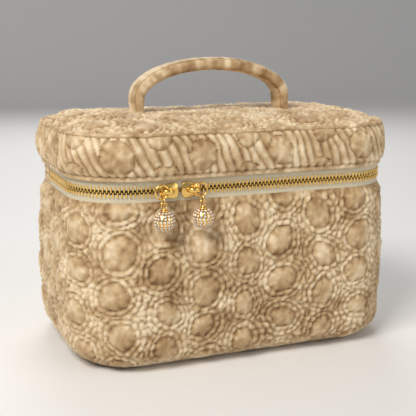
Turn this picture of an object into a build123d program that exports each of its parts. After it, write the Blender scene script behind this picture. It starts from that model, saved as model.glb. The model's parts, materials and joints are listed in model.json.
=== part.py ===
"""Soft train-case makeup bag: quilted body and lid, two-way metal zip, padded handle, ball charms.

Millimetres. Z is up, the bag stands on Z = 0 and its front, with the sliders, faces -Y.
"""

import math
import os

from build123d import *

# Driving dimensions
WIDTH = 208.0
DEPTH = 134.0
CORNER_R = 38.0
ZIP_Z = 108.0
LID_SEAM_Z = 140.0
LID_CROWN = 6.0
FLOOR_R = 16.0

# Cloth thicknesses
VELVET = 1.6
WADDING = 3.0
LINING = 0.6
GAP = 0.1
BOARD = 1.5
BASE_IN = 17.0
BOARD_IN = 19.0
BINDING_T = 0.8
BINDING_TALL = 8.0
LID_SKIRT = 3.0
CROWN_IN = 26.0
PAD_EDGE_IN = 8.0
LINING_EDGE_IN = 8.4

# Zip, size 5
TAPE_T = 0.8
TAPE_HALF = 6.0
TAPE_INSET = 1.6
TOOTH_PITCH = 2.4
TOOTH_WIDE = 1.05
TOOTH_THICK = 2.4
TOOTH_LONG = 3.4
TOOTH_MESH = 0.4
ZIP_SIDE_RUN = 46.0
STOP_LONG = 3.0
STOP_CLEAR = 0.6
TAB_LONG = 7.0
TAB_CLEAR = 0.5

# Sliders and charms
SLIDER_LONG = 11.5
SLIDER_TALL = 9.0
PLATE_T = 1.1
PLATE_GAP = 2.9
HEAD_GAP = 1.8
MEET_X = -46.0
BAIL_R = 3.4
BAIL_HALF = 3.1
BAIL_T = 1.3
BAIL_WIDE = 2.6
BAIL_SHIFT = 1.2
FLANGE_T = 0.8
FLANGE_CLEAR = 0.25
NECK = 3.0
NECK_BACK = 2.2
WIRE_R = 0.55
RING_R = 3.9
LINK_R = 2.9
LINK_WIRE_R = 0.36
LINK_LEAN = 50.0
WIRE_CLEAR = 0.5
EYE_R = 1.75
EYE_WIRE_R = 0.24
CAP_R = 2.0
CAP_TALL = 1.8
CAP_DROP = 1.2
BALL_R = 5.6
CRYSTAL_R = 0.78
CRYSTAL_ROWS = 9
CRYSTAL_PITCH = 2.1
CRYSTAL_T = 0.5
CRYSTAL_TOP = 1.2

# Handle
HANDLE_SPAN = 100.0
HANDLE_RISE = 30.0
HANDLE_WIDE = 18.0
HANDLE_THICK = 8.0
CORE_WIDE = 12.5
CORE_THICK = 4.6
FOOT_CLEAR = 0.4
BOW_DROP = 9.0
PATCH_LONG = 30.0
PATCH_WIDE = 26.0
PATCH_T = 0.8

BODY_TOP = ZIP_Z - TAPE_HALF
LID_BOTTOM = ZIP_Z + TAPE_HALF
FRONT_Y = -DEPTH / 2
TOOTH_Y = FRONT_Y + TAPE_INSET
LID_TOP = LID_SEAM_Z + LID_CROWN
FOOT_Z = LID_TOP + HANDLE_WIDE / 2 + FOOT_CLEAR
ZIP_END_Y = FRONT_Y + CORNER_R + ZIP_SIDE_RUN
TAB_Y = ZIP_END_Y + TAB_CLEAR + TAB_LONG / 2


def write(piece, name):
    """Labels a finished piece and writes its STEP file."""
    piece.label = name
    export_step(piece, f"parts/{name}.step")


def outline(inset):
    """The bag's plan, moved in by inset, as a sketch in the current builder."""
    return RectangleRounded(WIDTH - 2 * inset, DEPTH - 2 * inset, CORNER_R - inset)


def ring_wall(low, high, outer, inner):
    """A closed upright wall between two insets of the plan."""
    with BuildPart() as wall:
        with BuildSketch(Plane.XY.offset(low)):
            outline(outer)
            with BuildSketch(mode=Mode.SUBTRACT):
                outline(inner)
        extrude(amount=high - low)
    return wall.part


def tub(inset, low, top, edge_r):
    """A solid block of the bag's plan with a rounded floor edge."""
    with BuildPart() as block:
        with BuildSketch(Plane.XY.offset(low)):
            outline(inset)
        extrude(amount=top - low)
        fillet(block.faces().sort_by(Axis.Z)[0].edges(), edge_r)
    return block.part


def dish(outer, thick, top, low=0.0):
    """An open tub with walls and floor of one thickness."""
    solid = tub(outer, low, top, FLOOR_R - outer)
    hollow = tub(outer + thick, low + thick, top + 1, FLOOR_R - outer - thick)
    return solid - hollow


def make_body():
    """Velvet wall and base, wadding, board, lining and the bound floor seam."""
    skin = dish(0, VELVET, BODY_TOP)
    with BuildPart() as floor_cut:
        with BuildSketch():
            outline(BASE_IN)
        extrude(amount=VELVET)
    write(skin - floor_cut.part, "body_shell")
    with BuildPart() as base:
        with BuildSketch():
            outline(BASE_IN + GAP)
        extrude(amount=VELVET)
    write(base.part, "base_panel")

    pad_at = VELVET + GAP
    write(dish(pad_at, WADDING, BODY_TOP, pad_at), "body_wadding")
    lining_at = pad_at + WADDING + GAP
    board_z = lining_at
    with BuildPart() as board:
        with BuildSketch(Plane.XY.offset(board_z)):
            outline(BOARD_IN)
        extrude(amount=BOARD)
    write(board.part, "base_board")
    lining_low = board_z + BOARD + GAP
    lining = tub(lining_at, lining_low, BODY_TOP, FLOOR_R - lining_at)
    hollow = tub(lining_at + LINING, lining_low + LINING, BODY_TOP + 1, FLOOR_R - lining_at - LINING)
    write(lining - hollow, "body_lining")
    binding_in = lining_at + LINING + GAP
    binding_top = BODY_TOP - BINDING_T
    binding = ring_wall(binding_top - BINDING_TALL, binding_top, binding_in, binding_in + BINDING_T)
    write(binding, "body_edge_binding")


def frustum(low, grow):
    """The lid's crowned top as a solid, from low upward, grown outward by grow."""
    with BuildPart() as crown:
        with BuildSketch(Plane.XY.offset(low)):
            outline(1 - grow)
        with BuildSketch(Plane.XY.offset(LID_SEAM_Z + grow)):
            outline(1 - grow)
        with BuildSketch(Plane.XY.offset(LID_TOP + grow)):
            outline(CROWN_IN)
        loft(ruled=True)
    return crown.part


def cone(low, low_in, top):
    """A solid that leans in from one inset at low to the flat of the crown at top."""
    with BuildPart() as lean:
        with BuildSketch(Plane.XY.offset(low)):
            outline(low_in)
        with BuildSketch(Plane.XY.offset(top)):
            outline(CROWN_IN)
        loft(ruled=True)
    return lean.part


def make_lid():
    """Velvet top and band, wadding, lining, bound seam and the handle's backing patches."""
    low = LID_SEAM_Z - LID_SKIRT
    write(frustum(low, 0) - frustum(low - LID_SKIRT, -VELVET), "lid_top_panel")
    write(ring_wall(LID_BOTTOM, low - GAP, 0, VELVET), "lid_band")

    pad_in = VELVET + GAP
    pad_top = LID_TOP - pad_in
    pad = frustum(low, -pad_in) - cone(low, PAD_EDGE_IN, pad_top - WADDING)
    write(pad, "lid_top_wadding")
    write(ring_wall(LID_BOTTOM, low - GAP, pad_in, pad_in + WADDING), "lid_band_wadding")

    cloth_in = pad_in + WADDING + GAP
    cloth_top = LID_TOP - cloth_in - GAP
    cloth = cone(low, LINING_EDGE_IN, cloth_top) - cone(low - LINING, LINING_EDGE_IN, cloth_top - LINING)
    write(cloth, "lid_top_lining")
    write(ring_wall(LID_BOTTOM, low - GAP, cloth_in, cloth_in + LINING), "lid_band_lining")
    seam_in = cloth_in + LINING + GAP
    write(ring_wall(low - BINDING_TALL, low - GAP, seam_in, seam_in + BINDING_T), "lid_edge_binding")

    patch_z = LID_TOP - seam_in - GAP - PATCH_T
    with BuildPart() as patches:
        with BuildSketch(Plane.XY.offset(patch_z)):
            with Locations((-HANDLE_SPAN / 2, 0), (HANDLE_SPAN / 2, 0)):
                RectangleRounded(PATCH_WIDE, PATCH_LONG, LID_SKIRT)
        extrude(amount=PATCH_T)
    write(patches.part, "handle_backing_patches")


def zip_point(along):
    """Place on the zip line, and its outward angle, at a signed distance from the front's middle."""
    half_front = WIDTH / 2 - CORNER_R
    radius = CORNER_R - TAPE_INSET
    arc = radius * math.pi / 2
    side = math.copysign(1, along)
    s = abs(along)
    if s <= half_front:
        return side * s, TOOTH_Y, -90.0
    if s <= half_front + arc:
        turn = (s - half_front) / radius
        x = half_front + radius * math.sin(turn)
        y = FRONT_Y + CORNER_R - radius * math.cos(turn)
        return side * x, y, -90 + side * math.degrees(turn)
    x = WIDTH / 2 - TAPE_INSET
    y = FRONT_Y + CORNER_R + (s - half_front - arc)
    return side * x, y, 0.0 if side > 0 else 180.0


ZIP_HALF_RUN = WIDTH / 2 - CORNER_R + (CORNER_R - TAPE_INSET) * math.pi / 2 + ZIP_SIDE_RUN


def tooth_row(shift, base_z):
    """One row of metal teeth, all of them separate solids on one zip tape."""
    count = int((ZIP_HALF_RUN - STOP_LONG) / TOOTH_PITCH)
    clear = HEAD_GAP / 2 + SLIDER_LONG
    teeth = []
    for i in range(-count, count + 1):
        along = i * TOOTH_PITCH + shift
        if abs(along - MEET_X) < clear + TOOTH_WIDE:
            continue
        if abs(along) > ZIP_HALF_RUN - STOP_LONG - TOOTH_WIDE:
            continue
        x, y, angle = zip_point(along)
        tooth = Box(TOOTH_THICK, TOOTH_WIDE, TOOTH_LONG)
        teeth.append(Location((x, y, base_z + TOOTH_LONG / 2), (0, 0, angle)) * tooth)
    return Compound(children=teeth)


def cut_at(wall, y, keep_front):
    """The part of a wall in front of, or behind, one Y."""
    with BuildPart() as far:
        with Locations((0, y + DEPTH / 2 if keep_front else y - DEPTH, ZIP_Z)):
            Box(2 * WIDTH, DEPTH if keep_front else 2 * DEPTH, 2 * ZIP_Z)
    return wall - far.part


def tape(low, high):
    """One woven zip tape: a wall round the front and both sides."""
    full = ring_wall(low, high, TAPE_INSET - TAPE_T / 2, TAPE_INSET + TAPE_T / 2)
    return cut_at(full, ZIP_END_Y, True)


def hinge_strip(low, high, start_y):
    """Half of the velvet strip that closes the back, from one zip end round to the other."""
    full = ring_wall(low, high, TAPE_INSET - VELVET / 2, TAPE_INSET + VELVET / 2)
    return cut_at(full, start_y, False)


def stops(base_z):
    """The two metal end stops of one tape."""
    tall = TOOTH_LONG - 2 * TOOTH_MESH
    pair = []
    for along in (-ZIP_HALF_RUN + STOP_LONG / 2, ZIP_HALF_RUN - STOP_LONG / 2):
        x, y, angle = zip_point(along)
        stop = Box(TOOTH_THICK, STOP_LONG - STOP_CLEAR, tall)
        pair.append(Location((x, y, base_z + tall / 2), (0, 0, angle)) * stop)
    return Compound(children=pair)


def make_zip():
    """Tapes, teeth, stops, the back hinge strip and the tabs that close the zip's ends."""
    low_row = ZIP_Z - TOOTH_LONG + TOOTH_MESH
    high_row = ZIP_Z - TOOTH_MESH
    write(tape(BODY_TOP + GAP, low_row - GAP), "lower_zip_tape")
    write(tape(high_row + TOOTH_LONG + GAP, LID_BOTTOM - GAP), "upper_zip_tape")
    write(tooth_row(0, low_row), "lower_zip_teeth")
    write(tooth_row(TOOTH_PITCH / 2, high_row), "upper_zip_teeth")
    write(stops(low_row), "lower_zip_stops")
    write(stops(high_row + 2 * TOOTH_MESH), "upper_zip_stops")

    strip_y = TAB_Y + TAB_LONG / 2 + TAB_CLEAR
    write(hinge_strip(BODY_TOP + GAP, ZIP_Z - GAP, strip_y), "back_hinge_strip")
    write(hinge_strip(ZIP_Z + GAP, LID_BOTTOM - GAP, ZIP_END_Y + TAB_CLEAR), "lid_hinge_strip")
    with BuildPart() as tabs:
        for side in (-1, 1):
            with Locations((side * (WIDTH / 2 - TAPE_INSET), TAB_Y, (BODY_TOP + ZIP_Z) / 2)):
                Box(VELVET, TAB_LONG, TAPE_HALF - 2 * GAP)
    write(tabs.part, "zip_end_tabs")


def torus(major, minor, centre, rotation):
    """A closed wire ring."""
    return Location(centre, rotation) * Torus(major, minor)


def slider_body(name, side, centre_x):
    """Two plates joined by a neck, with flanges that hold the teeth."""
    outer_y = TOOTH_Y - PLATE_GAP / 2 - PLATE_T / 2
    inner_y = TOOTH_Y + PLATE_GAP / 2 + PLATE_T / 2
    flange_z = SLIDER_TALL / 2 - FLANGE_T / 2
    with BuildPart() as body:
        for y, inward in ((outer_y, 1), (inner_y, -1)):
            with BuildSketch(Plane.XZ.offset(-y + PLATE_T / 2)):
                with Locations((centre_x, ZIP_Z)):
                    RectangleRounded(SLIDER_LONG, SLIDER_TALL, NECK_BACK)
            extrude(amount=-PLATE_T)
            lip = (PLATE_GAP - TAPE_T) / 2 - FLANGE_CLEAR
            lip_y = y + inward * (PLATE_T + lip) / 2
            for up in (-1, 1):
                with Locations((centre_x, lip_y, ZIP_Z + up * flange_z)):
                    Box(SLIDER_LONG - 2 * NECK_BACK, lip, FLANGE_T)
        with Locations((centre_x - side * (SLIDER_LONG / 2 - NECK_BACK), TOOTH_Y, ZIP_Z)):
            Box(FLANGE_T + PLATE_T, PLATE_GAP + GAP, NECK)
    write(body.part, f"{name}_slider_body")


def charm(name, ring_x, wire_y):
    """Link, capped ball and set crystals, hung from the foot of the pull ring."""
    lean = math.radians(LINK_LEAN)
    reach = LINK_R - WIRE_R - LINK_WIRE_R - GAP
    link_y = wire_y - reach * math.sin(lean)
    link_z = ZIP_Z - RING_R - reach * math.cos(lean)
    write(torus(LINK_R, LINK_WIRE_R, (ring_x, link_y, link_z), (0, 90, 0)), f"{name}_link_ring")

    ball_y = link_y - LINK_R * math.sin(lean)
    eye_z = link_z - LINK_R * math.cos(lean)
    cap_z = eye_z - EYE_R - EYE_WIRE_R / 2
    ball_z = cap_z - CAP_DROP - BALL_R
    with BuildPart() as cap:
        with Locations((ring_x, ball_y, cap_z - CAP_TALL / 2)):
            Cylinder(CAP_R, CAP_TALL)
    eye = torus(EYE_R, EYE_WIRE_R, (ring_x, ball_y, eye_z), (90, 0, 0))
    core = Location((ring_x, ball_y, ball_z)) * Sphere(BALL_R)
    room = Location((ring_x, ball_y, ball_z)) * Sphere(BALL_R + GAP / 4)
    write(cap.part + eye - room, f"{name}_charm_cap")
    write(core, f"{name}_charm_ball")

    crystals = []
    for row in range(CRYSTAL_ROWS):
        lat = math.pi * (row + 1) / (CRYSTAL_ROWS + 1) - math.pi / 2
        if lat > CRYSTAL_TOP:
            continue
        around = max(3, round(2 * math.pi * BALL_R * math.cos(lat) / CRYSTAL_PITCH))
        for k in range(around):
            lon = 2 * math.pi * (k + (row % 2) / 2) / around
            face = Vector(math.cos(lat) * math.cos(lon), math.cos(lat) * math.sin(lon), math.sin(lat))
            foot = Vector(ring_x, ball_y, ball_z) + face * (BALL_R + GAP / 2 + CRYSTAL_T / 2)
            crystals.append(Plane(foot, z_dir=face).location * Cylinder(CRYSTAL_R, CRYSTAL_T))
    write(Compound(children=crystals), f"{name}_charm_crystals")


def make_slider(name, side):
    """A slider on the straight front of the zip, its bail, ring and hanging charm."""
    centre_x = MEET_X + side * (HEAD_GAP + SLIDER_LONG) / 2
    slider_body(name, side, centre_x)

    bail_x = centre_x + side * BAIL_SHIFT
    bail_y = TOOTH_Y - PLATE_GAP / 2 - PLATE_T
    with BuildPart() as bail:
        with BuildSketch(Plane.XY.offset(ZIP_Z - BAIL_WIDE / 2)):
            with Locations((bail_x, bail_y)):
                Ellipse(BAIL_HALF + BAIL_T, BAIL_R + BAIL_T)
                Ellipse(BAIL_HALF, BAIL_R, mode=Mode.SUBTRACT)
                with Locations((0, SLIDER_LONG / 2)):
                    Rectangle(2 * SLIDER_LONG, SLIDER_LONG, mode=Mode.SUBTRACT)
        extrude(amount=BAIL_WIDE)
    write(bail.part, f"{name}_slider_bail")

    wire_y = bail_y - BAIL_R + WIRE_R + WIRE_CLEAR
    ring_x = bail_x + side * RING_R
    write(torus(RING_R, WIRE_R, (ring_x, wire_y, ZIP_Z), (90, 0, 0)), f"{name}_pull_ring")
    charm(name, ring_x, wire_y)


def arch(thick, wide, low):
    """The handle's bow: a flattened half ellipse of even thickness, standing on its two feet."""
    half_span = HANDLE_SPAN / 2
    with BuildPart() as bow:
        with BuildSketch(Plane.XZ.offset(-wide / 2)):
            with Locations((0, FOOT_Z)):
                Ellipse(half_span + thick / 2, HANDLE_RISE + thick / 2 - BOW_DROP)
                Ellipse(half_span - thick / 2, HANDLE_RISE - thick / 2 - BOW_DROP, mode=Mode.SUBTRACT)
            with Locations((0, FOOT_Z - WIDTH / 2)):
                Rectangle(2 * WIDTH, WIDTH, mode=Mode.SUBTRACT)
            with Locations((-half_span, (FOOT_Z + low) / 2), (half_span, (FOOT_Z + low) / 2)):
                Rectangle(thick, FOOT_Z - low)
        extrude(amount=wide)
    return bow


def make_handle():
    """The handle's velvet cover and its stuffing cord."""
    low = LID_TOP + FOOT_CLEAR
    cover = arch(HANDLE_THICK, HANDLE_WIDE, low)
    with cover:
        foot_edges = cover.edges().filter_by(Axis.X).group_by(Axis.Z)[0]
        fillet(foot_edges, HANDLE_WIDE / 2 - GAP)
    core = arch(CORE_THICK, CORE_WIDE, low + HANDLE_THICK / 2)
    write(cover.part - core.part, "handle_cover")
    write(core.part, "handle_core")


os.makedirs("parts", exist_ok=True)
make_body()
make_lid()
make_zip()
make_slider("left", -1)
make_slider("right", 1)
make_handle()
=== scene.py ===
import json
import math

import bpy
import numpy as np
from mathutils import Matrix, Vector

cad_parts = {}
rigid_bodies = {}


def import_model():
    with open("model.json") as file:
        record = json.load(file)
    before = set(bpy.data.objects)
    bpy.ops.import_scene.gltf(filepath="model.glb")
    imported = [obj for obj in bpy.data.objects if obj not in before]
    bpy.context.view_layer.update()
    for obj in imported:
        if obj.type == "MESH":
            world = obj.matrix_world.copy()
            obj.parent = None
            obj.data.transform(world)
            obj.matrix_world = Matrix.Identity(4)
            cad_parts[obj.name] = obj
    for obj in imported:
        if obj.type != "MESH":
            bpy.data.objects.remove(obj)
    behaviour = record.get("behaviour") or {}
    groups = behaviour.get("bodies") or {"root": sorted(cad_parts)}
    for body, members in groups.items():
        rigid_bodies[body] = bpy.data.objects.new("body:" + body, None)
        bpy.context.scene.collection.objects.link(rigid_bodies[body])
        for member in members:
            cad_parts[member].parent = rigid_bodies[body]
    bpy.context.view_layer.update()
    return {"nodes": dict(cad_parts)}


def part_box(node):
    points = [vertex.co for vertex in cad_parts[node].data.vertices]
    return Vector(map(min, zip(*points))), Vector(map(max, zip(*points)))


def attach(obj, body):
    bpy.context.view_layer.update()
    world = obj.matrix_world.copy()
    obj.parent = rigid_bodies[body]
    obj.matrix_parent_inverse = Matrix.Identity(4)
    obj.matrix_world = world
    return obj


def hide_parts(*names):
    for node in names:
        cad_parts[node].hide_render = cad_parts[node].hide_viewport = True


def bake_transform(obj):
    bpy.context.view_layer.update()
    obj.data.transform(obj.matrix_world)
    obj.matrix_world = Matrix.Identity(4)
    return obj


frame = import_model()

MM = 0.001
# Sizes in mm. The first ones are read from the frame.
_lo, _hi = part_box("body_shell")
HALF_W = (_hi[0] - _lo[0]) / 2 / MM
HALF_D = (_hi[1] - _lo[1]) / 2 / MM
BODY_TOP = _hi[2] / MM
LID_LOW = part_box("lid_band")[0][2] / MM
BAND_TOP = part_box("lid_band")[1][2] / MM
LID_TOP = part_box("lid_top_panel")[1][2] / MM
ZIP_Z = (BODY_TOP + LID_LOW) / 2
HANDLE_THICK = 8.0
MEET = (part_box("left_slider_body")[1][0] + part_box("right_slider_body")[0][0]) / 2 / MM
FOOT_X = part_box("handle_cover")[1][0] / MM - HANDLE_THICK / 2
# Where the lid's seam ridge runs, how far in the tape lies, and the outline and the zip's run, as in the CAD
SEAM_Z = BAND_TOP + 3.1
TAPE_IN = 1.6
CORNER = 38.0
SIDE_RUN = 46.0
FLOOR_R = 16.0
TOOTH_PITCH = 2.4
TOOTH_ROOT = 3.0
EYE_R = 1.75
EYE_WIRE_R = 0.24
STRAIGHT_X = HALF_W - CORNER
STRAIGHT_Y = HALF_D - CORNER
ARC = CORNER * math.pi / 2
AROUND = 4 * (STRAIGHT_X + STRAIGHT_Y) + 2 * math.pi * CORNER
END = STRAIGHT_X + ARC + SIDE_RUN
# The quilting: circles in staggered columns, each with rings of puffs round it
COLS = 24
PITCH = AROUND / COLS
ROW = 24.5
JITTER = 4.0
DISC_R = 8.1
DISC_H = 2.5
RING_STEP = 3.3
PUFF = 5.0
MID_H = 1.25
PLEATS = 116
# The lining's inset and height inside the body, and the radius it turns on
LINING_IN = 4.9
LID_LINING_IN = 5.0
LINING_LOW = 7.2
LINING_TURN = 11
# Random numbers, drawn once
SEED = 7
TABLE = 4096
_tab = np.random.default_rng(SEED).random(TABLE)


# ---------------------------------------------------------------- noise and plan
def _hash(i, j, k):
    return _tab[(i * 73 + j * 179 + k * 283 + (i * j) % 61) % TABLE]


def noise(x, y, z=0.0, scale=10.0, octaves=1):
    """Smooth noise from -1 to 1."""
    x, y, z = np.broadcast_arrays(np.asarray(x, float), np.asarray(y, float), np.asarray(z, float))
    total, amp, norm = 0.0, 1.0, 0.0
    for o in range(octaves):
        px, py, pz = x / scale + 17.3 * o + 900, y / scale + 5.1 * o + 900, z / scale + 900
        i, j, k = np.floor(px).astype(int), np.floor(py).astype(int), np.floor(pz).astype(int)
        fx, fy, fz = px - i, py - j, pz - k
        fx, fy, fz = (f * f * (3 - 2 * f) for f in (fx, fy, fz))
        value = 0.0
        for di in (0, 1):
            for dj in (0, 1):
                for dk in (0, 1):
                    w = (fx if di else 1 - fx) * (fy if dj else 1 - fy) * (fz if dk else 1 - fz)
                    value = value + w * _hash(i + di, j + dj, k + dk)
        total = total + amp * (2 * value - 1)
        norm += amp
        amp *= 0.5
        scale /= 2
    return total / norm


def plan(s, inset=0.0):
    """Point and outward normal of the bag's outline, s mm to the right of the front's middle."""
    s = np.mod(np.asarray(s, float), AROUND)
    marks = np.cumsum([STRAIGHT_X, ARC, 2 * STRAIGHT_Y, ARC, 2 * STRAIGHT_X, ARC, 2 * STRAIGHT_Y, ARC])
    x, y, a = np.zeros_like(s), np.zeros_like(s), np.zeros_like(s)
    # from mark, to mark, start or centre, direction (None on a corner), angle of the normal
    pieces = [
        (-1, 0, (0, -STRAIGHT_Y), (1, 0), -90),
        (0, 1, (STRAIGHT_X, -STRAIGHT_Y), None, -90),
        (1, 2, (STRAIGHT_X, -STRAIGHT_Y), (0, 1), 0),
        (2, 3, (STRAIGHT_X, STRAIGHT_Y), None, 0),
        (3, 4, (STRAIGHT_X, STRAIGHT_Y), (-1, 0), 90),
        (4, 5, (-STRAIGHT_X, STRAIGHT_Y), None, 90),
        (5, 6, (-STRAIGHT_X, STRAIGHT_Y), (0, -1), 180),
        (6, 7, (-STRAIGHT_X, -STRAIGHT_Y), None, 180),
        (7, 8, (-STRAIGHT_X, -STRAIGHT_Y), (1, 0), 270),
    ]
    for lo, hi, c, d, a0 in pieces:
        start = 0.0 if lo < 0 else marks[lo]
        end = AROUND if hi > 7 else marks[hi]
        m = (s >= start) & (s <= end)
        t = s[m] - start
        if d is None:
            a[m] = np.radians(a0) + t / CORNER
            x[m], y[m] = c[0], c[1]
        else:
            a[m] = np.radians(a0)
            x[m], y[m] = c[0] + d[0] * t, c[1] + d[1] * t
    nx, ny = np.cos(a), np.sin(a)
    return x + nx * (CORNER - inset), y + ny * (CORNER - inset), nx, ny


# ---------------------------------------------------------------- meshes
def mesh_object(name, verts, faces, smooth=True):
    me = bpy.data.meshes.new(name)
    me.from_pydata([tuple(v) for v in verts], [], [tuple(f) for f in faces])
    me.update()
    if smooth:
        me.polygons.foreach_set("use_smooth", [True] * len(me.polygons))
    ob = bpy.data.objects.new(name, me)
    bpy.context.scene.collection.objects.link(ob)
    return ob


def add_attr(ob, name, values):
    at = ob.data.attributes.new(name, "FLOAT", "POINT")
    at.data.foreach_set("value", np.asarray(values, np.float32).ravel())


def grid(name, P, closed_u=False, attr=None, flip=False):
    """A mesh from an array of points [u, v, 3] in mm."""
    nu, nv = P.shape[:2]
    idx = np.arange(nu * nv).reshape(nu, nv)
    last = nu if closed_u else nu - 1
    a = idx[:last, :-1]
    b = np.roll(idx, -1, 0)[:last, :-1]
    c = np.roll(idx, -1, 0)[:last, 1:]
    d = idx[:last, 1:]
    quads = np.stack([a, b, c, d], -1).reshape(-1, 4)
    if flip:
        quads = quads[:, ::-1]
    ob = mesh_object(name, P.reshape(-1, 3) * MM, quads)
    for key, values in (attr or {}).items():
        add_attr(ob, key, values)
    return ob


def strip(name, s, profile):
    """An open band along the outline: profile is a list of (inset, z)."""
    P = np.zeros((len(s), len(profile), 3))
    for k, (inset, z) in enumerate(profile):
        x, y, _, _ = plan(s, inset)
        P[:, k, 0], P[:, k, 1], P[:, k, 2] = x, y, z
    return grid(name, P)


def tube(name, path, radius, sides):
    """A closed ridge along a nearly level list of points, mm, with a radius at each."""
    tan = np.roll(path, -1, 0) - np.roll(path, 1, 0)
    tan /= np.linalg.norm(tan, axis=1)[:, None]
    side = np.cross(tan, [0.0, 0.0, 1.0])
    side /= np.linalg.norm(side, axis=1)[:, None]
    nor = np.cross(side, tan)
    ang = np.linspace(0, 2 * np.pi, sides, endpoint=False)
    P = path[None] + radius[None, :, None] * (
        np.cos(ang)[:, None, None] * side[None] + np.sin(ang)[:, None, None] * nor[None])
    return grid(name, np.concatenate([P, P[:, :1]], 1), True)


def join(name, objs):
    for o in bpy.data.objects:
        o.select_set(False)
    for o in objs:
        o.select_set(True)
    bpy.context.view_layer.objects.active = objs[0]
    bpy.ops.object.join()
    objs[0].name = name
    objs[0].data.name = name
    return objs[0]


# ---------------------------------------------------------------- quilting
def quilt(u, v, wrap):
    """Circle quilting at u, v (mm): its height in mm, its painted shading from 0 to 1 (painted shade in the
    grooves, painted highlights on the puffs), and whether it is on a disc.
    """
    wu = u + 2.3 * noise(u, v, 3.0, 19) + 0.8 * noise(u, v, 9.0, 6)
    wv = v + 2.3 * noise(u, v, 33.0, 19) + 0.8 * noise(u, v, 39.0, 6)
    col = np.round(wu / PITCH)
    best = np.full(np.shape(wu), 1e9)
    bu, bv, bid = np.zeros_like(best), np.zeros_like(best), np.zeros_like(best)
    for dc in (-1, 0, 1):
        c = col + dc
        off = np.mod(c, 2) * ROW / 2
        base = np.round((wv - off) / ROW)
        for dr in (-1, 0, 1):
            rr = base + dr
            cid = np.mod(c, COLS) if wrap else c + 50
            jx = (_tab[(cid * 37 + rr * 11 + 600).astype(int) % TABLE] - 0.5) * JITTER
            jy = (_tab[(cid * 91 + rr * 53 + 900).astype(int) % TABLE] - 0.5) * JITTER
            du, dv = wu - c * PITCH - jx, wv - rr * ROW - off - jy
            r = np.hypot(du, dv)
            m = r < best
            best, bu, bv = np.where(m, r, best), np.where(m, du, bu), np.where(m, dv, bv)
            bid = np.where(m, cid * 13 + rr * 7, bid)
    r, ang = best, np.arctan2(bv, bu)
    phase = bid * 1.7
    disc_r = DISC_R + 0.8 * np.sin(bid * 2.9) + 0.7 * np.sin(2 * ang + phase)
    disc_r = disc_r + 0.25 * np.sin(5 * ang + 2 * phase)
    t = np.clip(r / disc_r, 0, 1)
    disc = DISC_H * np.power(1 - t ** 3.4, 0.5)
    pull = 0.5 * np.sin(ang * 7 + phase + 1.5 * noise(u, v, 5, 6)) * t ** 2
    pull = pull + 0.26 * np.sin(ang * 13 - phase) * t ** 3
    disc = disc + pull * (1 - t ** 6)
    w = (r - disc_r) / RING_STEP
    k = np.clip(np.floor(w), 0, 3)
    f = np.clip(w - k, 0, 1)
    count = np.round(2 * np.pi * (8.2 + (k + 0.5) * RING_STEP) / PUFF)
    scallop = np.abs(np.sin(ang * count / 2 + phase * (k + 1) + 0.8 * noise(u, v, 12, 7)))
    ridge = np.power(np.clip(np.sin(np.pi * f), 0, 1), 0.55) * (0.3 + 0.7 * np.power(scallop, 0.6))
    ridge = ridge * (2.1 + 0.5 * noise(u, v, 20, 9))
    h = np.where(r < disc_r, disc, ridge)
    h = h + 0.42 * noise(u, v, 50, 3.6, 2) * (0.4 + 0.6 * np.clip(h, 0, 1))
    # painted shading: the tone follows the height, with painted shade in the grooves and painted highlights on
    # the raised puffs and on the discs' pull wrinkles
    shade = np.clip(h / 2.3, 0, 1)
    on_disc = 0.10 + 0.55 * shade + 0.25 * (pull - 0.1)
    shade = np.where(r < disc_r, on_disc, np.power(shade, 0.8))
    return h - MID_H, np.clip(shade, 0, 1), r < disc_r


def crush(u, v, seed):
    """Patches where the pile lies another way, from 0 to 1."""
    a = noise(u, v, seed, 9, 3)
    b = noise(u * 1.6, v, seed + 40, 3.6, 2)
    return np.clip(0.5 + 0.75 * a + 0.35 * b, 0, 1)


def smooth(a, b, x):
    """A soft step from 0 at a to 1 at b."""
    t = np.clip((x - a) / (b - a), 0, 1)
    return t * t * (3 - 2 * t)


# ---------------------------------------------------------------- body wall
def profile_body(step):
    """(inset, z, length, out, up) down the wall and in under the floor edge."""
    rows = []
    z = BODY_TOP
    while z > FLOOR_R:
        rows.append((0.0, z, BODY_TOP - z, 1.0, 0.0))
        z -= step
    n = int(FLOOR_R * math.pi / 2 / step)
    for k in range(n + 1):
        a = math.pi / 2 * k / n
        c, sn = math.cos(a), math.sin(a)
        rows.append((FLOOR_R - FLOOR_R * c, FLOOR_R - FLOOR_R * sn, BODY_TOP - FLOOR_R + FLOOR_R * a, c, -sn))
    for k in range(1, 4):
        rows.append((FLOOR_R + k, 0.0, BODY_TOP - FLOOR_R + FLOOR_R * math.pi / 2 + k, 0.0, -1.0))
    return rows


def straightness(s):
    """1 on the middle of a flat side, 0 on a corner."""
    _, _, nx, ny = plan(s)
    return smooth(0.0, 0.9, np.maximum(np.abs(nx), np.abs(ny)) ** 6)


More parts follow.
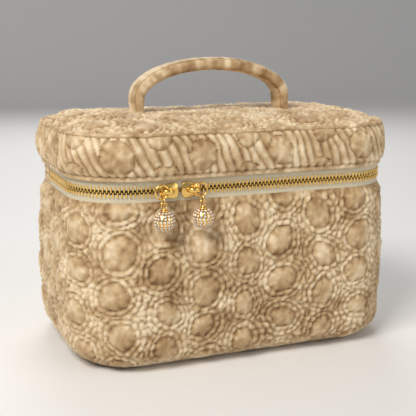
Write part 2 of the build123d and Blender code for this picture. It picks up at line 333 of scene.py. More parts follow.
def body_wall():
    """The quilted wall, bulging between its seams and drawn in under the charms."""
    step = 1.0
    s = np.linspace(0, AROUND, int(AROUND / step), endpoint=False)
    rows = profile_body(step)
    S = np.repeat(s[:, None], len(rows), 1)
    IN, Z, V, OUT, UP = (np.array(column)[None, :] + 0 * S for column in zip(*rows))
    x, y, nx, ny = plan(S)
    h, shade, _ = quilt(S + 6, V + 9, True)
    h = h * 1.05
    side = np.abs(np.where(S > AROUND / 2, S - AROUND, S) - MEET)
    front = smooth(46, 16, side)
    high = smooth(BODY_TOP - 32, BODY_TOP - 12, Z)
    # flat gathers where the wall meets the tape
    top = smooth(5.5, 0.5, V)
    gather = 0.8 * np.sin(S * 1.05 + 2 * noise(S, V, 60, 15)) * smooth(14, 2, V) * (1 - top)
    bulge = 4.2 * np.sin(np.pi * np.clip((Z - 2) / (BODY_TOP - 2), 0, 1)) ** 0.8
    bulge = bulge * (0.45 + 0.55 * straightness(S))
    bulge = bulge + 1.4 * noise(S, Z, 70, 42) * smooth(0, 30, BODY_TOP - Z)
    bulge = bulge * (1 - 0.97 * front * high)
    d = bulge + h * (1 - 0.85 * top) + gather - 1.0 * top
    # the wall stays behind the charms, where they hang
    dimple = np.exp(-(side / 15) ** 2 - ((Z - BODY_TOP + 14) / 10) ** 2)
    d = d - 1.2 * dimple
    limit = np.where((side < 24) & (Z > BODY_TOP - 24), -0.1, 9.0)
    d = np.minimum(d, limit)
    under = smooth(9, 1.0, Z)
    d = d * (1 - 0.75 * under)
    X = x + nx * (d * OUT - IN)
    Y = y + ny * (d * OUT - IN)
    ZZ = np.maximum(Z + d * UP, 0.05)
    P = np.stack([X, Y, ZZ], -1)
    # painted shade along the top edge, where the wall tucks in under the tape
    shade = shade * (1 - 0.35 * top)
    fold = crush(S, V, 80)
    return grid("body_quilted_wall", P, True, {"shade": shade, "fold": fold}, flip=True)


def base_cloth():
    """The quilted velvet base, flat, inside the floor seam."""
    s = np.linspace(0, AROUND, 240, endpoint=False)
    ts = np.linspace(0, 1, 40)
    P = np.zeros((len(s), len(ts), 3))
    x, y, _, _ = plan(s, FLOOR_R + 2.2)
    for k, t in enumerate(ts):
        P[:, k, 0] = x * (1 - t) + np.clip(x, -50, 50) * t
        P[:, k, 1] = y * (1 - t)
    h, shade, _ = quilt(P[..., 0], P[..., 1], False)
    P[..., 2] = np.maximum(0.05, 0.05 + 0.4 * (MID_H - h)) * smooth(0, 0.06, ts)[None, :] + 0.04
    return grid("base_quilted_panel", P, True, {"shade": shade, "fold": crush(P[..., 0], P[..., 1], 15)})


def welt(name, z, inset, radius, wobble):
    """A stuffed seam ridge round the outline."""
    s = np.linspace(0, AROUND, 900, endpoint=False)
    x, y, _, _ = plan(s, inset)
    zz = z + wobble * noise(s, 0 * s, 5, 20)
    r = radius * (1 + 0.16 * np.sin(s * 2.4 + 2 * noise(s, 0 * s, 2, 8)) + 0.2 * noise(s, 0 * s, 9, 6))
    ob = tube(name, np.stack([x, y, zz], -1), r, 10)
    co = np.array([v.co for v in ob.data.vertices]) / MM
    add_attr(ob, "shade", np.clip(0.55 + 0.35 * noise(co[:, 0], co[:, 1], co[:, 2], 3), 0, 1))
    add_attr(ob, "fold", crush(co[:, 0] + co[:, 1], co[:, 2], 5))
    return ob


# ---------------------------------------------------------------- lid
def lid_band():
    """Gathered velvet band with a flat turned hem along the tape."""
    step = 0.8
    s = np.linspace(0, AROUND, int(AROUND / step), endpoint=False)
    z = np.concatenate([[LID_LOW + 0.25, LID_LOW + 0.05], np.arange(LID_LOW + 0.15, SEAM_Z - 0.2, 0.7)])
    S, Z = np.meshgrid(s, z, indexing="ij")
    x, y, nx, ny = plan(S)
    up = (Z - LID_LOW) / (SEAM_Z - LID_LOW)
    lean = S + 0.42 * (Z - LID_LOW) + 3.6 * noise(S, Z, 4, 26) + 1.8 * noise(S, Z, 14, 9)
    k = 2 * np.pi / (AROUND / PLEATS)
    pleat = np.power(np.abs(np.sin(lean * k / 2)), 0.6)
    fine = 0.3 * noise(S, Z, 24, 2.6, 2) + 0.5 * noise(S, Z, 27, 8)
    cut, cshade, disc = quilt(S + 6, Z - (LID_LOW + SEAM_Z) / 2 + 36.75, True)
    on_disc = disc * smooth(LID_LOW + 3.5, LID_LOW + 6, Z)
    h = (1.9 * pleat - 1.0 + fine) * (1 - on_disc) + (cut * 0.95 + 0.3) * on_disc
    # painted shading on the pleats: lighter on their crests, painted shade in their folds; the discs keep the
    # quilting's painted shading
    shade = (0.12 + 0.75 * pleat) * (1 - on_disc) + cshade * on_disc
    hem = smooth(LID_LOW + 3.0, LID_LOW + 2.4, Z)
    gutter = np.exp(-((Z - LID_LOW - 2.9) / 0.5) ** 2)
    edge = smooth(SEAM_Z - 2.4, SEAM_Z - 0.4, Z)
    d = (2.6 * np.sin(np.pi * np.clip(up, 0, 1)) ** 0.8 + h) * (1 - hem) * (1 - 0.7 * edge)
    d = d + hem * (0.7 + 0.12 * noise(S, Z, 6, 4)) - 1.0 * gutter
    d[:, 0] = -1.4
    d[:, 1] = 0.0
    # the flat hem gets a plain mid tone that varies at random, and the gutter above it a painted shade
    shade = shade * (1 - hem) + hem * (0.62 + 0.2 * noise(S, Z, 8, 3)) - 0.4 * gutter
    P = np.stack([x + nx * d, y + ny * d, Z], -1)
    return grid("lid_gathered_band", P, True, {"shade": np.clip(shade, 0, 1), "fold": crush(S, Z, 33)})


def lid_height(x, y, t):
    """Top of the lid in mm, t running from 0 at the seam to 1 at the middle."""
    dome = 7.4 * (1 - (1 - np.clip(t * 1.25, 0, 1)) ** 2.4)
    return SEAM_Z - 0.6 + dome + 0.8 * noise(x, y, 90, 45) * smooth(0, 0.3, t)


def lid_top():
    """The quilted dome, tucked in at its seam and pressed down under the handle's feet."""
    step = 1.0
    s = np.linspace(0, AROUND, int(AROUND / step), endpoint=False)
    t = np.linspace(0, 1, 84) ** 0.92
    S, T = np.meshgrid(s, t, indexing="ij")
    x, y, _, _ = plan(S, 0.4)
    X, Y = x * (1 - T) + np.clip(x, -STRAIGHT_X - 4, STRAIGHT_X + 4) * T, y * (1 - T)
    h, shade, _ = quilt(X + 9, Y + 5, False)
    depth = smooth(0.0, 0.05, T)
    foot = np.exp(-((np.abs(X) - FOOT_X) / 8) ** 2 - (Y / 13) ** 2)
    Z = lid_height(X, Y, T) + h * 1.05 * depth * (1 - 0.6 * foot) - 0.9 * foot
    Z = np.minimum(Z, LID_TOP + 3.2)
    # radial tucks just inside the seam
    tuck = 0.55 * np.sin(S * 1.1 + 2 * noise(S, 0 * S, 8, 12)) * np.exp(-((T - 0.06) / 0.05) ** 2)
    Z = Z + tuck
    P = np.stack([X, Y, Z], -1)
    return grid("lid_quilted_top", P, True, {"shade": shade, "fold": crush(X, Y, 61)})


# ---------------------------------------------------------------- linings
def lining(name, rows, seed, flat_z, flip):
    """Woven lining round the inside, with soft slack folds, closed by a flat at flat_z.

    rows is a list of (inset, z). The flat runs in from the last inset, t going from 0 to 1 at the middle.
    """
    s = np.linspace(0, AROUND, 420, endpoint=False)
    rows = [(inset, z, 0.0) for inset, z in rows]
    rows += [(rows[-1][0], flat_z, t) for t in np.linspace(0, 1, 18)[1:]]
    P = np.zeros((len(s), len(rows), 3))
    for k, (inset, z, t) in enumerate(rows):
        slack = 0.35 * noise(s, z + 0 * s, seed, 22, 2) + 0.15 * np.sin(s * 0.35 + z * 0.05)
        x, y, _, _ = plan(s, inset + 0.6 + slack)
        x, y = x * (1 - t) + np.clip(x, -48, 48) * t, y * (1 - t)
        P[:, k] = np.stack([x, y, z + 0.25 * noise(x, y, seed, 25)], -1)
    return grid(name, P, True, flip=flip)


# ---------------------------------------------------------------- zip
def tape_band(name, low, high):
    """Woven zip tape from z low to z high: a face swelling very slightly, turned over to a plain back."""
    face = TAPE_IN - 0.42
    back = TAPE_IN + 0.3
    prof = [(face - 0.12 * math.sin((z - low) * 2.2), z) for z in np.linspace(low, high, 9)]
    prof += [(back, high), (back, low), (face, low)]
    return strip(name, np.linspace(-END, END, 700), prof)


def tooth_mesh(points, up):
    """Scoop-shaped zip teeth at (s, z) places: broad clamped foot, narrow rounded nose."""
    half, thick = 0.52, 1.2
    # half width as a share of half, and height, from the foot to the nose
    rise = [(1.0, 0.0), (1.05, 1.5), (0.95, 2.2), (0.75, 2.9), (0.35, 3.35)]
    outline = [(-half * k, h) for k, h in rise] + [(half * k, h) for k, h in reversed(rise)]
    # depth through the tooth, and how full the outline is there
    layers = [(-thick, 0.72), (-thick * 0.82, 1.0), (-0.35, 1.0),
              (0.35, 1.0), (thick * 0.82, 1.0), (thick, 0.72)]
    verts, faces = [], []
    n = len(outline)
    for s, z0 in points:
        x, y, nx, ny = (float(q) for q in plan(np.array(s), TAPE_IN))
        tx, ty = -ny, nx
        base = len(verts)
        for depth, grow in layers:
            for a, b in outline:
                along, high = a * grow, 1.7 + (b - 1.7) * (0.86 + 0.14 * grow)
                point = (x + nx * depth + tx * along, y + ny * depth + ty * along, z0 + up * high)
                verts.append(tuple(v * MM for v in point))
        for k in range(len(layers) - 1):
            for i in range(n):
                j = (i + 1) % n
                q = (base + k * n + i, base + k * n + j, base + (k + 1) * n + j, base + (k + 1) * n + i)
                faces.append(q if up > 0 else q[::-1])
        f0 = tuple(base + i for i in range(n))
        f1 = tuple(base + (len(layers) - 1) * n + i for i in range(n))
        faces.append(f0[::-1] if up > 0 else f0)
        faces.append(f1 if up > 0 else f1[::-1])
    return verts, faces


def teeth(name, shift, up, z0):
    """A row of teeth along the zip, left out where the sliders cover it."""
    arc = (CORNER - TAPE_IN) * math.pi / 2
    under_sliders = 13.2
    count = int((STRAIGHT_X + arc + SIDE_RUN - 3) / TOOTH_PITCH)
    places = []
    for i in range(-count, count + 1):
        along = i * TOOTH_PITCH + shift
        if abs(along - MEET) < under_sliders:
            continue
        # the pitch is kept on the tape's line, which is shorter round a corner than the outline
        a = abs(along)
        if a >= STRAIGHT_X + arc:
            a = a + (ARC - arc)
        elif a > STRAIGHT_X:
            a = STRAIGHT_X + (a - STRAIGHT_X) * CORNER / (CORNER - TAPE_IN)
        places.append((math.copysign(a, along), z0))
    verts, faces = tooth_mesh(places, up)
    return mesh_object(name, verts, faces, smooth=False)


# ---------------------------------------------------------------- sliders and charms
def bevelled(name, outline_pts, y0, y1, edge=0.28):
    """A plate in the XZ plane with softened rims. Points in mm."""
    pts = np.asarray(outline_pts, float)
    c = pts.mean(0)
    levels = []
    # depth, and how far the outline draws in there, as a share of edge
    steps = ((y0, 1), (y0 + edge * 0.3, 0.4), (y0 + edge, 0),
             (y1 - edge, 0), (y1 - edge * 0.3, 0.4), (y1, 1))
    for y, k in steps:
        d = pts - c
        shrink = 1 - edge * k / np.maximum(np.linalg.norm(d, axis=1), 0.1)
        q = c + d * shrink[:, None]
        levels.append(np.stack([q[:, 0], np.full(len(q), y), q[:, 1]], -1))
    n = len(pts)
    verts = np.concatenate(levels) * MM
    faces = []
    for k in range(len(levels) - 1):
        for i in range(n):
            j = (i + 1) % n
            faces.append((k * n + i, k * n + j, (k + 1) * n + j, (k + 1) * n + i))
    faces.append(tuple(range(n))[::-1])
    faces.append(tuple((len(levels) - 1) * n + i for i in range(n)))
    return mesh_object(name, verts, faces)


def slider(name, sgn):
    """Shaped slider body: wide shouldered head at the middle, narrower tail."""
    lo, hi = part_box(f"{name}_slider_body")
    x0, x1 = lo[0] / MM, hi[0] / MM
    head = x1 if sgn < 0 else x0
    tail = x0 if sgn < 0 else x1
    y0, y1 = lo[1] / MM, hi[1] / MM
    z0, z1 = lo[2] / MM, hi[2] / MM
    zc, hh = (z0 + z1) / 2, (z1 - z0) / 2
    way = 1 if tail > head else -1
    length = abs(tail - head)
    # distance from the head, and half height there as a share of the tallest
    prof = [(0.0, 0.10), (0.25, 0.55), (0.9, 0.86), (2.0, 0.99), (3.6, 1.0), (5.2, 0.93),
            (7.0, 0.84), (9.2, 0.8), (10.6, 0.7), (length - 0.3, 0.5), (length, 0.3)]
    pts = [(head + way * a, zc + hh * w) for a, w in prof]
    pts += [(head + way * a, zc - hh * w) for a, w in reversed(prof)]
    if way < 0:
        pts = pts[::-1]
    plate, rail_in, rail_out = 1.15, 0.9, 1.85
    parts = [bevelled(f"{name}_p1", pts, y0, y0 + plate), bevelled(f"{name}_p2", pts, y1 - plate, y1)]
    flange = prof[2:9]
    for up in (-1, 1):
        rail = [(head + way * a, zc + up * (hh * w - 0.15)) for a, w in flange]
        rail += [(head + way * a, zc + up * (hh * w - 0.75)) for a, w in reversed(flange)]
        if (way < 0) != (up < 0):
            rail = rail[::-1]
        parts.append(bevelled(f"{name}_r{up}", rail, y0 + rail_in, y0 + rail_out, 0.08))
        parts.append(bevelled(f"{name}_q{up}", rail, y1 - rail_out, y1 - rail_in, 0.08))
    neck = [(head + way * 2.2 + 0.95 * math.cos(a), zc + 1.5 * math.sin(a))
            for a in np.linspace(0, 2 * np.pi, 14, endpoint=False)]
    parts.append(bevelled(f"{name}_n", neck, y0 + rail_in, y1 - rail_in, 0.05))
    return join(f"{name}_slider_shell", parts)


def bail(name):
    """Swelling bridge on the slider's face."""
    lo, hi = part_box(f"{name}_slider_bail")
    cx, y_face, y_out = (lo[0] + hi[0]) / 2 / MM, hi[1] / MM, lo[1] / MM
    zc, wide = (lo[2] + hi[2]) / 2 / MM, (hi[2] - lo[2]) / MM
    a_mid, b_mid = (hi[0] - lo[0]) / 2 / MM - 0.65, (y_face - y_out) - 0.65
    ang = np.linspace(-0.12, math.pi + 0.12, 30)
    ring = np.linspace(0, 2 * np.pi, 20, endpoint=False)
    half_thick = 0.62
    P = np.zeros((len(ring), len(ang), 3))
    for j, a in enumerate(ang):
        cxx, cyy = cx + a_mid * math.cos(a), y_face - b_mid * math.sin(a)
        n = np.array([math.cos(a) * b_mid, -math.sin(a) * a_mid])
        n /= np.linalg.norm(n)
        w = wide / 2 * (0.72 + 0.28 * math.sin(max(0, min(math.pi, a))) ** 0.8)
        for i, q in enumerate(ring):
            c, sn = math.cos(q), math.sin(q)
            pc = math.copysign(abs(c) ** 0.75, c)
            ps = math.copysign(abs(sn) ** 0.75, sn)
            P[i, j] = (cxx + n[0] * pc * half_thick, cyy + n[1] * pc * half_thick, zc + ps * w)
    return grid(f"{name}_bail_bridge", P, True)


def wire_ring(name, node, axis):
    """A round wire ring in the box of node, about the y or the x axis."""
    lo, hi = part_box(node)
    c = np.array([(lo[i] + hi[i]) / 2 for i in range(3)]) / MM
    size = np.array([hi[i] - lo[i] for i in range(3)]) / MM
    r_wire = size.min() / 2
    r = size.max() / 2 - r_wire
    a = np.linspace(0, 2 * np.pi, 64, endpoint=False)
    if axis == "y":
        path = np.stack([c[0] + r * np.cos(a), c[1] + 0 * a, c[2] + r * np.sin(a)], -1)
    else:
        path = np.stack([c[0] + 0 * a, c[1] + r * np.cos(a), c[2] + r * np.sin(a)], -1)
    return tube_ring(name, path, r_wire, c)


def tube_ring(name, path, r, centre):
    """A wire of radius r along a circle of points round centre, mm."""
    n, sides = len(path), 16
    ang = np.linspace(0, 2 * np.pi, sides, endpoint=False)
    radial = path - centre
    radial /= np.linalg.norm(radial, axis=1)[:, None]
    axis = np.cross(radial[0], radial[n // 4])
    axis /= np.linalg.norm(axis)
    P = path[:, None] + r * (np.cos(ang)[None, :, None] * radial[:, None] + np.sin(ang)[None, :, None] * axis)
    P = np.concatenate([P, P[:, :1]], 1)
    return grid(name, P, True, flip=True)


def lathe(name, centre, prof, sides=40):
    """prof is a list of (radius, z) in mm, turned about the upright through centre."""
    a = np.linspace(0, 2 * np.pi, sides, endpoint=False)
    P = np.zeros((sides, len(prof), 3))
    for j, (r, z) in enumerate(prof):
        P[:, j] = np.stack([centre[0] + r * np.cos(a), centre[1] + r * np.sin(a), z + 0 * a], -1)
    return grid(name, P, True)


def ball_and_stones(name):
    """The charm's ball with its prong beads, its turned cap with the eye, and its faceted stones."""
    lo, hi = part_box(f"{name}_charm_ball")
    c = np.array([(lo[i] + hi[i]) / 2 for i in range(3)]) / MM
    r = (hi[2] - lo[2]) / 2 / MM
    prof = [(max(1e-3, r * math.sin(t)), c[2] - r * math.cos(t)) for t in np.linspace(0.02, math.pi - 0.02, 40)]
    ball = lathe(f"{name}_ball_core", c, prof, 64)
    top = c[2] + r
    turned = [(0.01, 1.5), (0.7, 1.45), (0.95, 1.2), (1.0, 0.9), (1.5, 0.75),
              (2.0, 0.45), (2.25, 0.05), (2.3, -0.4), (2.0, -0.5)]
    cap = lathe(f"{name}_cap_turned", c, [(radius, top + up) for radius, up in turned])
    eye_c = np.array([c[0], c[1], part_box(f"{name}_charm_cap")[1][2] / MM - EYE_R - EYE_WIRE_R])
    a = np.linspace(0, 2 * np.pi, 40, endpoint=False)
    path = np.stack([eye_c[0] + EYE_R * np.cos(a), eye_c[1] + 0 * a, eye_c[2] + EYE_R * np.sin(a)], -1)
    eye = tube_ring(f"{name}_eye", path, EYE_WIRE_R, eye_c)
    verts, faces, bverts, bfaces = [], [], [], []
    # radius, height over the ball and turn of each ring of a stone: girdle, crown and table
    stone = ((0.62, 0.0, 0), (0.7, 0.2, 0), (0.54, 0.42, 0.5), (0.32, 0.56, 0))
    octahedron = ((0, 2, 4), (2, 1, 4), (1, 3, 4), (3, 0, 4), (2, 0, 5), (1, 2, 5), (3, 1, 5), (0, 3, 5))
    rows, spacing, under_cap, sides, bead_r = 9, 2.1, 1.2, 8, 0.24
    for row in range(rows):
        lat = math.pi * (row + 1) / (rows + 1) - math.pi / 2
        if lat > under_cap:
            continue
        around = max(3, round(2 * math.pi * r * math.cos(lat) / spacing))
        for k in range(around):
            lon = 2 * math.pi * (k + (row % 2) / 2) / around
            n = np.array([math.cos(lat) * math.cos(lon), math.cos(lat) * math.sin(lon), math.sin(lat)])
            u = np.cross(n, [0, 0, 1.0])
            u /= max(1e-6, np.linalg.norm(u))
            v = np.cross(n, u)
            first = len(verts)
            for rad, h, turn in stone:
                for q in range(sides):
                    t = 2 * math.pi * (q + turn) / sides
                    verts.append((c + n * (r + h) + rad * (u * math.cos(t) + v * math.sin(t))) * MM)
            for ring in range(len(stone) - 1):
                lower = first + ring * sides
                for q in range(sides):
                    w = (q + 1) % sides
                    faces.append((lower + q, lower + w, lower + sides + w, lower + sides + q))
            faces.append(tuple(first + (len(stone) - 1) * sides + q for q in range(sides)))
            # four small prong beads round each stone
            for q in range(4):
                t = 2 * math.pi * (q + 0.5) / 4
                pc = c + n * (r + 0.25) + 0.98 * (u * math.cos(t) + v * math.sin(t))
                bb = len(bverts)
                for e in ((1, 0, 0), (-1, 0, 0), (0, 1, 0), (0, -1, 0), (0, 0, 1), (0, 0, -1)):
                    bverts.append((pc + bead_r * (e[0] * u + e[1] * v + e[2] * n)) * MM)
                bfaces += [tuple(bb + w for w in tri) for tri in octahedron]
    stones = mesh_object(f"{name}_stones", verts, faces, smooth=False)
    beads = mesh_object(f"{name}_prong_beads", bverts, bfaces)
    cap = join(f"{name}_cap_and_eye", [cap, eye])
    ball = join(f"{name}_ball_set", [ball, beads])
    return ball, cap, stones


# ---------------------------------------------------------------- handle
def handle_strap():
    """Padded strap bow with sewn edges, running down into the lid."""
    lo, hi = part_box("handle_cover")
    half_out = (hi[0] - lo[0]) / 2 / MM
    top = hi[2] / MM
    wide = (hi[1] - lo[1]) / MM
    foot_z = LID_TOP + wide / 2 + 0.4
    a_mid, b_mid = half_out - HANDLE_THICK / 2, top - foot_z - HANDLE_THICK / 2
    path, nor = [], []
    low = SEAM_Z + 2.0
    for z in np.linspace(low, foot_z, 16, endpoint=False):
        path.append((-a_mid, z))
        nor.append((-1.0, 0.0))
    for a in np.linspace(math.pi, 0, 150):
        path.append((a_mid * math.cos(a), foot_z + b_mid * math.sin(a)))
        n = np.array([math.cos(a) * b_mid, math.sin(a) * a_mid])
        n /= np.linalg.norm(n)
        nor.append(tuple(n))
    for z in np.linspace(foot_z, low, 17)[1:]:
        path.append((a_mid, z))
        nor.append((1.0, 0.0))
    path, nor = np.array(path), np.array(nor)
    seg = np.concatenate([[0], np.cumsum(np.linalg.norm(np.diff(path, axis=0), axis=1))])
    L = seg[-1]
    q = np.linspace(0, 2 * np.pi, 72, endpoint=False)
    P = np.zeros((len(q), len(path), 3))
    shade = np.zeros((len(q), len(path)))
    for j in range(len(path)):
        s = seg[j]
        wob = 0.7 * float(noise(s, 0, 3, 22)) + 0.35 * float(noise(s, 0, 8, 7))
        flat = 1 - 0.30 * math.exp(-(min(s, L - s) / 12) ** 2)
        t = HANDLE_THICK / 2 * (1 + 0.05 * wob) * flat
        w = wide / 2 * (1 + 0.03 * wob)
        for i, a in enumerate(q):
            c, sn = math.cos(a), math.sin(a)
            pt = math.copysign(abs(c) ** 0.72, c) * t
            pw = math.copysign(abs(sn) ** 0.62, sn) * w
            # a stitched line near both edges
            edge = abs(pw) / w
            groove = math.exp(-((edge - 0.76) / 0.055) ** 2)
            stitch = 0.5 + 0.5 * math.cos(2 * math.pi * s / 3.1)
            pt -= math.copysign(0.75 * groove * (0.65 + 0.35 * stitch), c) if abs(c) > 0.1 else 0
            ripple = 0.5 * float(noise(s * 1.5, pw * 0.5, 5 + (c > 0), 6.0, 2))
            pt += math.copysign(ripple, c)
            # painted shading: lighter across the middle of the strap and darker towards its edges, painted
            # shade in the stitched grooves, and lighter where the ripples stand out
            shade[i, j] = 0.55 + 0.3 * (1 - edge) - 0.45 * groove + 0.9 * ripple
            P[i, j] = (path[j, 0] + nor[j, 0] * pt, pw, path[j, 1] + nor[j, 1] * pt)
    fold = crush(np.repeat(seg[None, :], len(q), 0), np.repeat(q[:, None] * 6, len(path), 1), 44)
    return grid("handle_strap", P, True, {"shade": np.clip(shade, 0, 1), "fold": fold})


def hinge_cloth():
    """Velvet strip that closes the back between the zip's two ends."""
    start = END + 0.3
    s = np.linspace(start, AROUND - start, 520)
    z = np.linspace(BODY_TOP - 0.6, LID_LOW + 0.6, 25)
    S, Z = np.meshgrid(s, z, indexing="ij")
    wave = 0.35 * noise(S, Z, 3, 9, 2) - 0.5 * np.exp(-((Z - ZIP_Z) / 0.8) ** 2)
    x, y, nx, ny = plan(S, 1.3)
    P = np.stack([x + nx * wave, y + ny * wave, Z], -1)
    # painted shading: the tone follows the wave, lighter where the cloth stands out, with painted shade in the
    # dip along the zip
    return grid("back_hinge_cloth", P, False, {"shade": np.clip(0.5 + wave, 0, 1), "fold": crush(S, Z, 12)})


# ---------------------------------------------------------------- materials
def new_mat(name, **inputs):
    """A material with a Principled shader. A double underscore stands for a space in an input's name."""
    m = bpy.data.materials.new(name)
    m.use_nodes = True
    bsdf = m.node_tree.nodes["Principled BSDF"]
    for key, value in inputs.items():
        bsdf.inputs[key.replace("__", " ")].default_value = value
    return m, m.node_tree, bsdf


def add_node(tree, kind, inputs=None, **settings):
    """A shader node with its settings and the values of its inputs."""
    node = tree.nodes.new("ShaderNode" + kind)
    for key, value in settings.items():
        setattr(node, key, value)
    for key, value in (inputs or {}).items():
        node.inputs[key].default_value = value
    return node


def linear(c):
    return ((c / 255 + 0.055) / 1.055) ** 2.4 if c > 10 else c / 255 / 12.92


def lin(r, g, b):
    """A display colour, 0 to 255, as the linear colour that the shaders take."""
    return (linear(r), linear(g), linear(b), 1.0)


def velvet_mat():
    """Crushed pile: the meshes' shade (painted shade and painted highlights from their quilting and folds,
    random tone on the seam ridge), their fold, a blotchy noise and a fine one choose the tone together.
    """
    m, nt, b = new_mat("crushed_velvet", Roughness=0.62, Specular__IOR__Level=0.25, Sheen__Weight=0.75,
                       Sheen__Roughness=0.35, Sheen__Tint=lin(255, 236, 205))
    link = nt.links.new
    shade = add_node(nt, "Attribute", attribute_name="shade")
    fold = add_node(nt, "Attribute", attribute_name="fold")
    place = add_node(nt, "TexCoord")
    blotch = add_node(nt, "TexNoise", {"Scale": 160, "Detail": 5, "Distortion": 0.9})
    pile = add_node(nt, "TexNoise", {"Scale": 3200, "Detail": 2})
    for texture in (blotch, pile):
        link(place.outputs["Object"], texture.inputs["Vector"])
    # the shade attribute brings the painted shading into the tone, down the ramp in grooves and folds and up it
    # on puffs and crests
    tone = add_node(nt, "Math", {1: 0.50}, operation="MULTIPLY")
    link(shade.outputs["Fac"], tone.inputs[0])
    for source, weight in ((fold, 0.42), (blotch, 0.34), (pile, 0.10)):
        layer = add_node(nt, "Math", {1: weight}, operation="MULTIPLY_ADD")
        link(source.outputs["Fac"], layer.inputs[0])
        link(tone.outputs[0], layer.inputs[2])
        tone = layer
    ramp = add_node(nt, "ValToRGB")
    stops = ramp.color_ramp.elements
    stops[0].position, stops[0].color = 0.22, lin(92, 64, 38)
    stops[1].position, stops[1].color = 0.98, lin(232, 212, 178)
    for position, colour in ((0.48, lin(150, 117, 79)), (0.72, lin(192, 163, 122))):
        stops.new(position).color = colour
    link(tone.outputs[0], ramp.inputs["Fac"])
    link(ramp.outputs["Color"], b.inputs["Base Color"])
    coarse = add_node(nt, "Bump", {"Strength": 0.55, "Distance": 0.0009})
    fine = add_node(nt, "Bump", {"Strength": 0.5, "Distance": 0.00025})
    link(blotch.outputs["Fac"], coarse.inputs["Height"])
    link(pile.outputs["Fac"], fine.inputs["Height"])
    link(coarse.outputs["Normal"], fine.inputs["Normal"])
    link(fine.outputs["Normal"], b.inputs["Normal"])
    return m


def cloth_mat(name, colour, scale, strength):
    """Plain woven cloth: crossed threads in object space."""
    m, nt, b = new_mat(name, Roughness=0.85, Sheen__Weight=0.2)
    link = nt.links.new
    place = add_node(nt, "TexCoord")
    waves = []
    for way in ("X", "Y", "Z"):
        wave = add_node(nt, "TexWave", {"Scale": scale, "Distortion": 0.6, "Detail": 1},
                        wave_type="BANDS", bands_direction=way)
        link(place.outputs["Object"], wave.inputs["Vector"])
        waves.append(wave)
    both = add_node(nt, "Math", operation="ADD")
    link(waves[0].outputs["Fac"], both.inputs[0])
    link(waves[1].outputs["Fac"], both.inputs[1])
    weave = add_node(nt, "Math", operation="MULTIPLY")
    link(both.outputs[0], weave.inputs[0])
    link(waves[2].outputs["Fac"], weave.inputs[1])
    bump = add_node(nt, "Bump", {"Strength": strength, "Distance": 0.0003})
    link(weave.outputs[0], bump.inputs["Height"])
    link(bump.outputs["Normal"], b.inputs["Normal"])
    # inputs 6 and 7 and output 2 are the colour ones
    dark = tuple(0.72 * v for v in colour[:3]) + (1,)
    mix = add_node(nt, "Mix", {6: dark, 7: colour}, data_type="RGBA")
    share = add_node(nt, "Math", {1: 0.5, 2: 0.35}, operation="MULTIPLY_ADD", use_clamp=True)
    link(weave.outputs[0], share.inputs[0])
    link(share.outputs[0], mix.inputs[0])
    link(mix.outputs[2], b.inputs["Base Color"])
    return m


def gold_mat():
    """Polished plate, its roughness varying a little."""
    m, nt, b = new_mat("polished_gold_plate", Base__Color=lin(236, 196, 112), Metallic=1.0)
    place = add_node(nt, "TexCoord")
    noise_node = add_node(nt, "TexNoise", {"Scale": 900})
    nt.links.new(place.outputs["Object"], noise_node.inputs["Vector"])
    # inputs 3 and 4 are the least and the most roughness
    rough = add_node(nt, "MapRange", {3: 0.14, 4: 0.26})
    nt.links.new(noise_node.outputs["Fac"], rough.inputs[0])
    nt.links.new(rough.outputs[0], b.inputs["Roughness"])
    return m


def plain_mat(name, colour, rough):
    return new_mat(name, Base__Color=colour, Roughness=rough)[0]


VELVET = velvet_mat()
TAPE = cloth_mat("zip_tape_weave", lin(226, 214, 184), 430, 0.7)
LINING = cloth_mat("lining_weave", lin(222, 208, 184), 620, 0.35)
BINDING = cloth_mat("binding_weave", lin(206, 190, 160), 520, 0.5)
WADDING = cloth_mat("wadding_fibre", lin(238, 236, 228), 150, 0.5)
GOLD = gold_mat()
STONE = new_mat("clear_crystal", Base__Color=(0.96, 0.95, 0.93, 1), Roughness=0.03, IOR=1.7,
                Transmission__Weight=0.25, Coat__Weight=0.6)[0]
BOARD = plain_mat("board_plain", lin(225, 222, 214), 0.7)


def finish_piece(ob, mat, slot_name, body, *nodes, pad=None):
    """Give a piece its material and body, and hide the frame's nodes that it stands for. The slot name and the
    padding are not used.
    """
    ob.data.materials.clear()
    ob.data.materials.append(mat)
    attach(ob, body)
    if nodes:
        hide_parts(*nodes)
    return ob


# ---------------------------------------------------------------- assembly
finish_piece(body_wall(), VELVET, "velvet", "body", "body_shell", "body_wadding", pad=0.75)
finish_piece(base_cloth(), VELVET, "velvet", "body", "base_panel", pad=0.4)
finish_piece(lid_band(), VELVET, "velvet", "lid", "lid_band", "lid_band_wadding", pad=0.7)
finish_piece(lid_top(), VELVET, "velvet", "lid", "lid_top_panel", "lid_top_wadding", pad=0.8)
finish_piece(welt("lid_seam_ridge", SEAM_Z + 0.1, 0.0, 1.25, 0.5), VELVET, "velvet", "lid")

hinge = hinge_cloth()
hinge.data.materials.append(VELVET)
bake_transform(hinge)
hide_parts("back_hinge_strip", "lid_hinge_strip", "zip_end_tabs")

strap = handle_strap()
strap.data.materials.append(VELVET)
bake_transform(strap)
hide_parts("handle_cover")

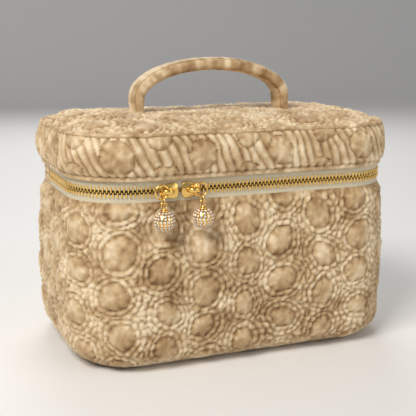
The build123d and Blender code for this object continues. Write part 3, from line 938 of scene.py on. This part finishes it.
# both linings turn over the tape's edge, run up or down the wall, and round off into their flat
wall_rows = [(1.5, BODY_TOP - 0.3), (3.2, BODY_TOP + 0.1)]
wall_rows += [(LINING_IN, BODY_TOP - 0.2), (LINING_IN, BODY_TOP - 1)]
wall_rows += [(LINING_IN, z) for z in np.linspace(BODY_TOP - 3, 18, 34)]
wall_rows += [(LINING_IN + LINING_TURN * (1 - math.cos(a)), LINING_LOW + LINING_TURN * (1 - math.sin(a)))
              for a in np.linspace(0.1, math.pi / 2, 10)]
finish_piece(lining("body_lining_cloth", wall_rows, 21, LINING_LOW, True), LINING, "lining", "body",
             "body_lining")
lid_rows = [(1.5, LID_LOW + 0.4), (3.2, LID_LOW + 0.1), (LID_LINING_IN, LID_LOW + 0.3)]
lid_rows += [(LID_LINING_IN, z) for z in np.linspace(LID_LOW + 1.5, BAND_TOP - 1.5, 12)]
lid_rows += [(7.0, BAND_TOP - 0.5), (11.0, BAND_TOP + 0.1), (18.0, BAND_TOP + 1.2), (25.0, BAND_TOP + 2.2)]
finish_piece(lining("lid_lining_cloth", lid_rows, 27, BAND_TOP + 2.3, False), LINING, "lining", "lid",
             "lid_top_lining", "lid_band_lining")

# the tapes reach a little past the cloth's edges and stop short of the zip's middle
finish_piece(tape_band("lower_tape_cloth", BODY_TOP - 0.4, ZIP_Z - 1.3), TAPE, "zip_tape", "body",
             "lower_zip_tape")
finish_piece(tape_band("upper_tape_cloth", ZIP_Z + 1.3, LID_LOW + 0.4), TAPE, "zip_tape", "lid",
             "upper_zip_tape")
finish_piece(teeth("lower_tooth_row", 0.0, 1, ZIP_Z - TOOTH_ROOT), GOLD, "gold_metal", "body",
             "lower_zip_teeth")
finish_piece(teeth("upper_tooth_row", TOOTH_PITCH / 2, -1, ZIP_Z + TOOTH_ROOT), GOLD, "gold_metal", "lid",
             "upper_zip_teeth")

for side, sgn in (("left", -1), ("right", 1)):
    finish_piece(slider(side, sgn), GOLD, "gold_metal", f"{side}_slider", f"{side}_slider_body")
    finish_piece(bail(side), GOLD, "gold_metal", f"{side}_slider", f"{side}_slider_bail")
    finish_piece(wire_ring(f"{side}_ring_wire", f"{side}_pull_ring", "y"), GOLD, "gold_metal", f"{side}_ring",
                 f"{side}_pull_ring")
    finish_piece(wire_ring(f"{side}_link_wire", f"{side}_link_ring", "x"), GOLD, "gold_metal", f"{side}_charm",
                 f"{side}_link_ring")
    ball, cap, stones = ball_and_stones(side)
    finish_piece(ball, GOLD, "gold_metal", f"{side}_charm", f"{side}_charm_ball")
    finish_piece(cap, GOLD, "gold_metal", f"{side}_charm", f"{side}_charm_cap")
    finish_piece(stones, STONE, "crystal", f"{side}_charm", f"{side}_charm_crystals")

for node, mat in (("base_board", BOARD), ("body_edge_binding", BINDING), ("lid_edge_binding", BINDING),
                  ("handle_backing_patches", LINING), ("handle_core", WADDING), ("lower_zip_stops", GOLD),
                  ("upper_zip_stops", GOLD)):
    ob = frame["nodes"][node]
    ob.data.materials.clear()
    ob.data.materials.append(mat)

# ---------------------------------------------------------------- floor, light and camera
HALF_FLOOR, BACK_Y, COVE_R, WALL_TOP = 4.0, 2.6, 0.8, 4.0
sweep = [(-HALF_FLOOR, 0.0), (BACK_Y - COVE_R, 0.0)]
sweep += [(BACK_Y - COVE_R + COVE_R * math.sin(a), COVE_R - COVE_R * math.cos(a))
          for a in np.linspace(0.1, math.pi / 2, 12)]
sweep += [(BACK_Y, WALL_TOP)]
floor = mesh_object("studio_floor", [(x, y, z - 0.0002) for x in (-HALF_FLOOR, HALF_FLOOR) for y, z in sweep],
                    [(i, i + len(sweep), i + len(sweep) + 1, i + 1) for i in range(len(sweep) - 1)])
floor.data.materials.append(plain_mat("floor_pale", (0.80, 0.79, 0.77, 1), 0.6))


def area_light(name, loc, size, power, colour=(1, 1, 1)):
    """A soft square light at loc, m, aimed at the bag."""
    d = bpy.data.lights.new(name, "AREA")
    d.size, d.energy, d.color = size, power, colour
    o = bpy.data.objects.new(name, d)
    bpy.context.scene.collection.objects.link(o)
    o.location = loc
    aim = Vector((0, 0, 0.08)) - Vector(loc)
    o.rotation_euler = aim.to_track_quat("-Z", "Y").to_euler()


area_light("key_softbox", (-0.75, -0.55, 1.05), 0.55, 15, (1, 0.97, 0.93))
area_light("fill_softbox", (1.0, -1.0, 0.55), 0.9, 4.5, (1, 0.98, 0.96))
area_light("rim_softbox", (0.3, 1.1, 0.9), 0.8, 7)
world = bpy.data.worlds.new("studio_world")
bpy.context.scene.world = world
world.use_nodes = True
sky = world.node_tree.nodes["Background"].inputs
sky["Color"].default_value = (0.86, 0.87, 0.9, 1)
sky["Strength"].default_value = 0.36
bpy.context.scene.view_settings.view_transform = "Standard"

# the photo's viewpoint: angles, and metres from the point looked at
AZ, EL, DIST = math.radians(-22), math.radians(11.5), 0.575
TARGET = (-0.0015, 0.0, 0.0815)
cam_data = bpy.data.cameras.new("photo_camera")
cam_data.lens, cam_data.sensor_width = 74.8, 36.0
cam_data.clip_start, cam_data.clip_end = 0.01, 20
cam = bpy.data.objects.new("photo_camera", cam_data)
bpy.context.scene.collection.objects.link(cam)
cam.location = (TARGET[0] + DIST * math.sin(AZ) * math.cos(EL), TARGET[1] - DIST * math.cos(AZ) * math.cos(EL),
                TARGET[2] + DIST * math.sin(EL))
cam.rotation_euler = (math.pi / 2 - EL, 0.0, AZ)
bpy.context.scene.camera = cam
